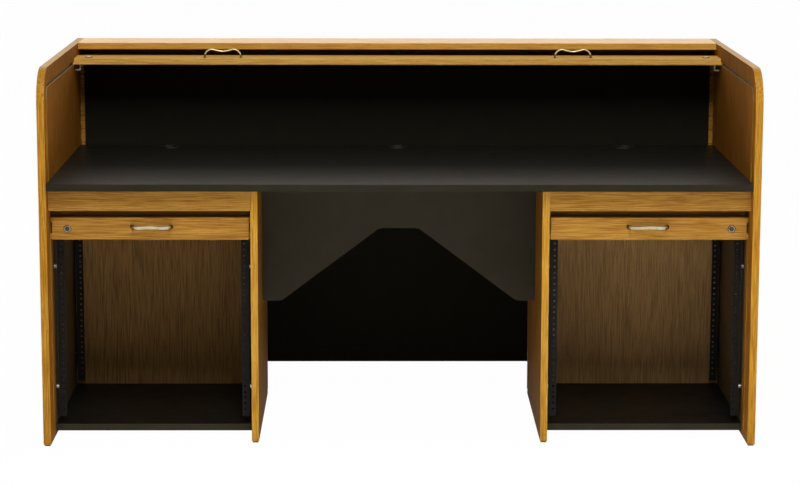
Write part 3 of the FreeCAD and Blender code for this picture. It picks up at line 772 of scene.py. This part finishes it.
@dataclass(kw_only=True)
class RollTop(Curtain):
    """The slatted roll top: gathered run over the top, bend, and tail hanging at the rear."""

    cloth_finish: Canvas = CANVAS
    cloth_slot: str = "black_canvas"
    ends: Pair = (-879.5 * MM, 879.5 * MM)
    tips: Pair = (-888.5 * MM, 888.5 * MM)
    canvas_margin: float = 10.5 * MM
    columns: int = 13
    travel: float = 0.55
    hidden_end: float = 0.430
    gather: float = 0.2945
    rail_back: float = 0.242
    top: float = 0.905
    tail_end: float = 0.07
    tail_extra: float = 7.0 * MM
    tail_rows: int = 41
    first_thick: float = 17.5 * MM
    slats: int = 24
    bend_slat: int = 2

    def bend_z(self) -> float:
        """Return the height of the bend's centre, which lies at gather along Y."""
        return self.top - self.bend_r

    def tail_y(self) -> float:
        """Return the place of the tail along Y."""
        return self.gather + self.bend_r

    def poses(self) -> np.ndarray:
        """Place each slat at rest by its length s from the lead rail.

        It lies on the straight, round the bend or down the tail.

        Returns:
            Array (slats, 3) of y, z and turn.
        """
        s = (np.arange(self.slats) + 0.5) * self.slat.pitch
        straight, arc = self.gather - self.rail_back, self.bend_r * QUARTER
        a = np.clip((s - straight) / self.bend_r, 0, QUARTER)
        y = self.rail_back + np.minimum(s, straight) + self.bend_r * np.sin(a)
        z = self.bend_z() + self.bend_r * np.cos(a) - np.maximum(s - straight - arc, 0)
        return np.stack([y, z, -a], -1)

    def run_shape(self, section: Points) -> Points:
        """Lay slats evenly over the drawn-out run and gather them back to where they rest.

        The first slat's outer face is raised to the lead rail's.

        Args:
            section: (along, out) outline of a slat.

        Returns:
            Array (bars, corners, 2) of y and z at rest.
        """
        y = self.rest(self.centres(self.rail_back - self.travel) + section[None, :, 0])
        out = np.broadcast_to(section[:, 1], y.shape).copy()
        raised = self.first_thick / self.slat.thick
        out[0] *= np.where(out[0] > self.slat.tongue, raised, 1.0)
        return np.stack([y, self.top + out], -1)

    def build(self) -> None:
        """Make and dress the slats and canvas; the bend follows the carcass, the canvas end the
        tail.
        """
        poses, node, k = self.poses(), "rolltop_slats", self.bend_slat
        run = self.slats_piece("rolltop_slats_run", node, self.run_shape)
        bend = self.slats_piece("rolltop_slats_bend", node,
                                lambda s: pose_sections(s, poses[k:k + 1]))
        tail = self.slats_piece("rolltop_slats_tail", node,
                                lambda s: pose_sections(s, poses[k + 1:-1]))
        # Painted light: the first slat's faces get the roll top rail's lighter oak.
        OAK_LEAD.dress_some(run, face_middles(run)[:, 1] < self.rail_back + self.slat.pitch)
        over, hang = self.build_canvas(poses[-2, 1] - self.slat.pitch / 2)
        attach(bend, "carcass")
        for piece in (run, over):
            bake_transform(piece)
        for piece in (tail, hang):
            self.bend_z()
            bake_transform(piece)
        self.build_tail_canvas(poses[-1, 1])

    def build_canvas(self, low: float) -> tuple[Piece, Piece]:
        """Make the canvas in two sheets that meet at the bend.

        Args:
            low: lower edge of the hanging sheet.

        Returns:
            The sheet over the top and the hanging one.
        """
        y = self.rest(np.linspace(self.rail_back - self.travel, self.hidden_end, self.run_rows))
        flat = np.stack([y, np.full_like(y, self.top - self.off())], -1)
        a, r = np.linspace(0, QUARTER, self.bend_rows), self.bend_r - self.off()
        bend = np.stack([self.gather + r * np.sin(a), self.bend_z() + r * np.cos(a)], -1)
        z = np.linspace(self.bend_z(), low, self.tail_rows)[1:]
        down = np.stack([np.full_like(z, self.tail_y() - self.off()), z], -1)
        over = self.canvas_piece("rolltop_canvas_run", "rolltop_canvas", flat, float(np.ptp(y)),
                                 "rolltop_slats_run")
        hang = self.canvas_piece("rolltop_canvas_tail", "rolltop_canvas",
                                 np.concatenate([bend, down]),
                                 float(r * QUARTER + self.bend_z() - low), "rolltop_slats_tail")
        return over, hang

    def build_tail_canvas(self, middle: float) -> None:
        """Make the end of the canvas, glued on the last slat.

        Args:
            middle: height of the last slat's middle without its extra width.
        """
        half = self.slat.half()
        z = np.linspace(middle + half, middle - half - self.tail_extra, 5)
        line = np.stack([np.full_like(z, self.tail_y() - self.off()), z], -1)
        end = self.canvas_piece("rolltop_canvas_end", "rolltop_tail_canvas", line,
                                float(np.ptp(z)), "rolltop_tail_slat")
        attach(end, "rolltop_tail")


@dataclass(kw_only=True)
class Shutter(Curtain):
    """One pedestal shutter: front run gathered behind the fascia, bend, and slats stored above.

    The ends and tips are written for the right side and turned round for the left.
    """

    side: str
    cloth_finish: Canvas = BROWN_CANVAS
    cloth_slot: str = "brown_canvas"
    ends: Pair = (380.0 * MM, 874.0 * MM)
    tips: Pair = (368.0 * MM, 888.5 * MM)
    canvas_margin: float = 1.0 * MM
    columns: int = 5
    travel: float = 0.508
    hidden_end: float = 0.648
    gather: float = 0.597
    front: float = -375.5 * MM
    rail_top: float = 0.577
    bend_z: float = 0.5945
    hinge: float = 17.5 * MM
    slats: int = 13
    store_rows: int = 25
    store_turn: float = math.radians(40)

    def __post_init__(self) -> None:
        """Turn the places along X round for the left side."""
        if self.side == "left":
            self.ends, self.tips = ((-far, -near) for near, far in (self.ends, self.tips))

    def poses(self) -> np.ndarray:
        """Place each slat at rest by its length s from the lead rail.

        Returns:
            Array (slats, 3) of y, z and turn.
        """
        s = self.hinge + (np.arange(self.slats) + 0.5) * self.slat.pitch
        straight, arc = self.bend_z - self.rail_top, self.bend_r * QUARTER
        a = np.clip((s - straight) / self.bend_r, 0, QUARTER)
        y = self.front + self.bend_r * (1 - np.cos(a)) + np.maximum(s - straight - arc, 0)
        z = self.rail_top + np.minimum(s, straight) + self.bend_r * np.sin(a)
        return np.stack([y, z, QUARTER - a], -1)

    def run_shape(self, section: Points) -> Points:
        """Lay slats evenly over the drawn-down run and gather them back behind the fascia.

        A strip of bare canvas, the hinge, lies between the lead rail and the first slat; as painted
        shade, its brown cloth stands in for shaded oak in the gap over the rail.

        Args:
            section: (along, out) outline of a slat.

        Returns:
            Array (bars, corners, 2) of y and z at rest.
        """
        start = self.rail_top - self.travel + self.hinge
        z = self.rest(self.centres(start) + section[None, :, 0])
        return np.stack([np.broadcast_to(self.front - section[None, :, 1], z.shape), z], -1)

    def build(self) -> None:
        """Make the slats and canvas, dress them, and let the stored ones follow the carcass."""
        body, poses = f"{self.side}_shutter", self.poses()
        stored = poses[poses[:, 2] < self.store_turn]
        run = self.slats_piece(f"{body}_slats_run", f"{body}_slats", self.run_shape)
        store = self.slats_piece(f"{body}_slats_store", f"{body}_slats",
                                 lambda s: pose_sections(s, stored))
        z = self.rest(np.linspace(self.rail_top - self.travel, self.hidden_end, self.run_rows))
        line = np.stack([np.full_like(z, self.front + self.off()), z], -1)
        down = self.canvas_piece(f"{body}_canvas_run", f"{body}_canvas", line, float(np.ptp(z)),
                                 run.name)
        a, r = np.linspace(0, QUARTER, self.bend_rows), self.bend_r - self.off()
        bend = np.stack([self.front + self.bend_r - r * np.cos(a), self.bend_z + r * np.sin(a)], -1)
        last = poses[-1, 0] + self.slat.pitch / 2
        y = np.linspace(bend[-1, 0], last, self.store_rows)[1:]
        back = np.stack([y, np.full_like(y, bend[-1, 1])], -1)
        over = self.canvas_piece(f"{body}_canvas_store", f"{body}_canvas",
                                 np.concatenate([bend, back]),
                                 float(r * QUARTER + y[-1] - bend[-1, 0]), store.name)
        for piece in (run, down):
            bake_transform(piece)
        for piece in (store, over):
            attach(piece, "carcass")


@dataclass
class BowHandle:
    """A bow handle: a rounded strap that rises from two feet and dips in the middle."""

    node: str
    body: str
    centre: Triple
    upright: bool
    half: float = 49.25 * MM
    rise: float = 22.75 * MM
    dip: float = 5.5 * MM
    half_wide: float = 5.5 * MM
    half_thick: float = 2.25 * MM
    foot_r: float = 5.0 * MM
    swell: float = 5.0 * MM
    square: float = 0.75
    stations: int = 97
    sides: int = 20
    # Painted shade: height below which the feet, and cosine above which a shutter handle's edges,
    # turn dark.
    painted_shade_height: float = 9.0 * MM
    painted_shade_rim: float = 0.7

    # Knots from a foot inwards: way from the foot, share of the rise and share of the dip.
    KNOTS = ((0.0, 0.0, 0.0), (1.6 * MM, 0.42, 0.0), (8.0 * MM, 0.80, 0.0), (19.0 * MM, 1.0, 0.0),
             (32.0 * MM, 1.0, 0.55))

    def spine(self) -> Points:
        """Draw the strap's line, a Catmull-Rom curve through its eleven knots.

        Returns:
            Array (stations, 2) of x and height.
        """
        way, up, down = np.array([*self.KNOTS, (self.half, 1.0, 1.0)]).T
        knots = np.stack([way - self.half, self.rise * up - self.dip * down], -1)
        knots = np.concatenate([knots, knots[-2::-1] * [-1, 1]])
        knots = np.concatenate([[2 * knots[0] - knots[1]], knots, [2 * knots[-1] - knots[-2]]])
        at = np.linspace(0, len(knots) - 3 - 1e-9, self.stations)
        i, t = at.astype(int), (at % 1)[:, None]
        p0, p1, p2, p3 = (knots[i + k] for k in range(4))
        return 0.5 * (2 * p1 + (p2 - p0) * t + (2 * p0 - 5 * p1 + 4 * p2 - p3) * t ** 2
                      + (3 * p1 - p0 - 3 * p2 + p3) * t ** 3)

    def build(self) -> Piece:
        """Carry a rounded section along the spine, swelling to round feet.

        The section is cos and sin to the power square, half_wide by half_thick; close to the foot
        it swells to foot_r.

        Returns:
            The handle.
        """
        line = self.spine()
        run = np.gradient(line, axis=0)
        run /= np.linalg.norm(run, axis=1)[:, None]
        normal = np.stack([-run[:, 1], run[:, 0]], -1)
        turn = np.linspace(0, 2 * math.pi, self.sides + 1)[:-1]
        ring = np.stack([np.cos(turn), np.sin(turn)], -1)
        flat = np.sign(ring) * np.abs(ring) ** self.square
        foot = np.clip(1 - line[:, 1] / self.swell, 0, 1)[:, None] ** 2
        wide = self.half_wide + (self.foot_r - self.half_wide) * foot
        thick = self.half_thick + (self.foot_r - self.half_thick) * foot
        across, out = wide * flat[None, :, 0], thick * flat[None, :, 1]
        x = line[:, :1] + normal[:, :1] * out
        high = np.maximum(line[:, 1:] + normal[:, 1:] * out, 0.0)
        x0, y0, z0 = self.centre
        points = (np.stack([x0 + x, y0 - high, z0 + across], -1) if self.upright
                  else np.stack([x0 + x, y0 + across, z0 + high], -1))
        rows, cols = x.shape
        number = np.arange(rows * cols).reshape(rows, cols)
        nxt = np.roll(number, -1, axis=1)
        quads = np.stack([number[:-1], nxt[:-1], nxt[1:], number[1:]], -1).reshape(-1, 4)
        caps = [number[0].tolist(), number[-1].tolist()]
        piece = make_piece(self.node + "_bow", points, quads.tolist() + caps, SMOOTH_BOW)
        put(piece, NICKEL, self.node)
        # Painted shade and reflection in dark brown on the feet and on a shutter handle's upper and
        # lower edges.
        low = np.repeat(line[:-1, 1] < self.painted_shade_height, cols)
        edge = np.abs(np.cos(turn + math.pi / cols)) > self.painted_shade_rim
        rim = np.tile(self.upright & edge, rows - 1)
        NICKEL_PAINTED_SHADE.dress_some(piece, np.concatenate([low | rim, [True, True]]))
        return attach(piece, self.body)


@dataclass
class Carcass:
    """The boards and fittings that keep their solids, each with its finish."""

    edge: float = 1.3 * MM
    edge_angle: float = 50.0
    weld: float = 0.02 * MM
    inner: float = 0.881
    track: float = 9.0 * MM
    track_low: float = 0.87
    slack: float = 0.2 * MM
    front_row: float = -0.1
    # Height above which a roll top cam's faces, its arm, get black painted shade.
    cam_arm: float = 0.9003
    # Share of a lock case's radius beyond which its rim gets painted shade.
    rim_share: float = 0.86

    # Kept nodes by finish, where * stands for left and for right.
    KEPT = (
        (CHARCOAL_DESK, "desktop"), (CHARCOAL, "knee_panel *_bay_floor"), (OAK_TOP, "top_board"),
        (OAK_Z, "*_side_panel"), (OAK_INNER, "*_inner_panel"), (OAK_LEAD, "rolltop_lead_rail"),
        (OAK_X, "back_panel *_fascia *_shutter_lead_rail rolltop_tail_slat"),
        (OAK_BACK["left"], "left_bay_back"), (OAK_BACK["right"], "right_bay_back"),
        (BLACK_PLASTIC, "floor_glides rack_sleeves cable_outlet_* cable_outlet_centre"),
        (BLACK_STEEL, "*_rack_rail_front_outer *_rack_rail_front_inner"),
        (BLACK_STEEL, "*_rack_rail_rear_outer *_rack_rail_rear_inner"), (RUBBER, "top_stops"),
        (ZINC, "rack_screws rolltop_grip_screws *_shutter_grip_screws"),
        (ZINC, "*_shutter_lock_cam rolltop_lock_cam_*"), (LOCK_CORE, "*_shutter_lock_plug"),
        (LOCK_NICKEL, "*_shutter_lock_case rolltop_lock_case_*"),
        (LOCK_FACE, "rolltop_lock_plug_*"))

    def dress(self) -> None:
        """Give each kept node its finish and eased edges to boards, and dress some faces apart.

        The front rack sleeves are bright; the roll top's grooves are pale, a painted highlight, and
        its cams' arms black, a painted shade.
        """
        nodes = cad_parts
        for finish, names in self.KEPT:
            for node in sorted({n.replace("*", side) for n in names.split() for side, _ in SIDES}):
                finish.dress(nodes[node])
                if isinstance(finish, (OakVeneer, CharcoalLaminate)):
                    self.ease(nodes[node])
                LOG.info("%s: %s", node, finish.name)
        sleeves = nodes["rack_sleeves"]
        ZINC.dress_some(sleeves, face_middles(sleeves)[:, 1] < self.front_row)
        for side, _ in SIDES:
            panel, cam = nodes[f"{side}_side_panel"], nodes[f"rolltop_lock_cam_{side}"]
            corners = face_corners(panel)
            deep = np.abs(corners[..., 0]).max(1) - self.inner
            # Painted highlight: the shaded grooves in the side panels are dressed pale.
            TRACK.dress_some(panel, (deep > self.slack) & (deep < self.track + self.slack)
                             & (corners[..., 2].min(1) > self.track_low))
            # Painted shade: the cams' arms under the rail are dressed black.
            BLACK_STEEL.dress_some(cam, face_middles(cam)[:, 2] > self.cam_arm)
            # Painted shade on the lock cases' outer rims.
            self.rim(nodes[f"rolltop_lock_case_{side}"], [0, 1])
            self.rim(nodes[f"{side}_shutter_lock_case"], [0, 2])

    def rim(self, piece: Piece, axes: list[int]) -> None:
        """Paint shade on a lock case's outer rim, the faces farthest from its axis.

        Args:
            piece: lock case.
            axes: the two axes across its bore.
        """
        middle = face_middles(piece)[:, axes]
        away = np.linalg.norm(middle - (middle.min(0) + middle.max(0)) / 2, axis=1)
        LOCK_CORE.dress_some(piece, away > self.rim_share * away.max())

    def ease(self, piece: Piece) -> None:
        """Round the sharp edges of a board a little, so that they catch the light.

        Args:
            piece: board to ease.
        """
        weld = piece.modifiers.new("weld", "WELD")
        weld.merge_threshold = self.weld
        bevel = piece.modifiers.new("eased_edges", "BEVEL")
        bevel.width, bevel.segments, bevel.limit_method = self.edge, 2, "ANGLE"
        bevel.angle_limit = math.radians(self.edge_angle)
        bevel.use_clamp_overlap = True


def stand(name: str, data: bpy.types.ID, axes: np.ndarray) -> Piece:
    """Put a lamp or camera into the scene.

    Args:
        name: the object's name.
        data: its lamp or camera settings.
        axes: right, up, back and place as columns, array (3, 4).

    Returns:
        The object.
    """
    made = bpy.data.objects.new(name, data)
    made.matrix_world = Matrix(np.vstack([axes, [0, 0, 0, 1]]).tolist())
    bpy.context.scene.collection.objects.link(made)
    return made


@dataclass(frozen=True)
class Lamp:
    """A rectangular soft box: sizes in metres, spread in degrees."""

    name: str
    place: Triple
    aim: Triple
    size: Pair
    spread: float
    watts: float
    tint: str = "#FFFFFF"

    def hang(self) -> None:
        """Make the lamp and turn it to its aim."""
        data = bpy.data.lights.new(self.name, "AREA")
        data.shape, data.spread, data.energy = "RECTANGLE", math.radians(self.spread), self.watts
        data.size, data.size_y = self.size
        data.color = linear(self.tint)[:3]
        back = np.array(self.place) - np.array(self.aim)
        back /= np.linalg.norm(back)
        straight_down = abs(back[2]) > 0.95
        side = np.cross([0.0, 1.0, 0.0] if straight_down else [0.0, 0.0, 1.0], back)
        side /= np.linalg.norm(side)
        stand(self.name, data, np.stack([side, np.cross(back, side), back, self.place], -1))


@dataclass
class Studio:
    """Pale floor, soft lamps and the camera at the photograph's angle."""

    focal_px: float = 2530.69
    wide_px: float = 800.0
    sensor_mm: float = 36.0
    eye: Triple = (-0.06819, -6.67936, 1.5808)
    pitch: float = 0.167976
    yaw: float = 0.010883
    roll: float = 0.002063
    sight: float = 200.0
    world: float = 0.1
    floor_half: float = 60.0
    floor_glow: float = 0.985

    # A soft box high in front, one that lights only the floor, and a bright backdrop behind.
    # Most light on the front comes back from the floor, so recesses and bays stay dark inside.
    LAMPS = (Lamp("front_high", (0.3, -6.0, 7.7), (0.0, -0.2, 0.6), (2.0, 4.0), 180.0, 510.0),
             Lamp("floor_wash", (0.35, -2.1, 3.2), (0.35, -2.1, 0.0), (2.5, 3.0), 22.0, 41.0),
             Lamp("backdrop", (0.0, 3.2, 2.4), (0.0, 0.0, 2.0), (6.0, 2.3), 180.0, 57.0, "#FFF4E2"))

    def camera(self) -> None:
        """Place the camera by its right, up and forward axes."""
        cp, sp = math.cos(self.pitch), math.sin(self.pitch)
        cy, sy = math.cos(self.yaw), math.sin(self.yaw)
        cr, sr = math.cos(self.roll), math.sin(self.roll)
        ahead, right = np.array([sy * cp, cy * cp, -sp]), np.array([cy, -sy, 0.0])
        up = np.cross(right, ahead)
        axes = np.stack([right * cr + up * sr, up * cr - right * sr, -ahead, self.eye], -1)
        data = bpy.data.cameras.new("camera")
        data.sensor_width = self.sensor_mm
        data.lens = self.focal_px * self.sensor_mm / self.wide_px
        data.clip_end = self.sight
        bpy.context.scene.camera = stand("camera", data, axes)

    def seen(self, add: Adder) -> Socket:
        """Tell rays from the camera, a mirror or glass from others.

        Args:
            add: adds a node.

        Returns:
            Socket of 1 for them and 0 for others.
        """
        path = add("LightPath")
        two = add("Math", {0: path["Is Camera Ray"], 1: path["Is Glossy Ray"]}, operation="MAXIMUM")
        return add("Math", {0: two[0], 1: path["Is Transmission Ray"]}, operation="MAXIMUM")[0]

    def floor(self) -> None:
        """Lay a wide pale floor that keeps the desk's shadow but shows nearly white."""
        corners = np.array([[-1, -1, 0], [1, -1, 0], [1, 1, 0], [-1, 1, 0]]) * self.floor_half
        plane = make_piece("floor", corners, [[0, 1, 2, 3]])
        made = bpy.data.materials.new("pale_studio_floor")
        add = adder(made)
        paint = add("BsdfDiffuse", {"Color": linear("#EDEBE7")})
        glow = add("Emission", {"Color": WHITE, "Strength": 1.0})
        share = add("Math", {0: self.seen(add), 1: self.floor_glow}, operation="MULTIPLY")
        mix = add("MixShader", {0: share[0], 1: paint[0], 2: glow[0]})
        add("OutputMaterial", {"Surface": mix[0]})
        plane.data.materials.append(made)
        plane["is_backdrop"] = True

    def sky(self) -> None:
        """Light the scene evenly from all round and show white to the camera."""
        made = bpy.data.worlds.new("studio")
        bpy.context.scene.world = made
        add = adder(made)
        dim = add("Background", {"Color": linear("#F4F2EE"), "Strength": self.world})
        white = add("Background", {"Color": WHITE, "Strength": 1.0})
        mix = add("MixShader", {0: self.seen(add), 1: dim[0], 2: white[0]})
        add("OutputWorld", {"Surface": mix[0]})

    def build(self) -> None:
        """Set up camera, floor, lamps and sky."""
        bpy.context.scene.view_settings.view_transform = "Standard"
        self.camera()
        self.floor()
        for lamp in self.LAMPS:
            lamp.hang()
        self.sky()


def main() -> None:
    logging.basicConfig(level=logging.INFO)
    Studio().build()
    Carcass().dress()
    RollTop().build()
    for side, sign in SIDES:
        Shutter(side=side).build()
        on_top, on_front = (sign * 0.477, 0.207, 0.9225), (sign * 0.62425, -0.393, 0.5535)
        BowHandle(f"rolltop_grip_{side}", "rolltop_lead", on_top, False).build()
        BowHandle(f"{side}_shutter_grip", f"{side}_shutter", on_front, True).build()
    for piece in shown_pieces():
        LOG.info("piece %s, %d faces", piece.name, len(piece.data.polygons))


if __name__ == "__main__":
    main()
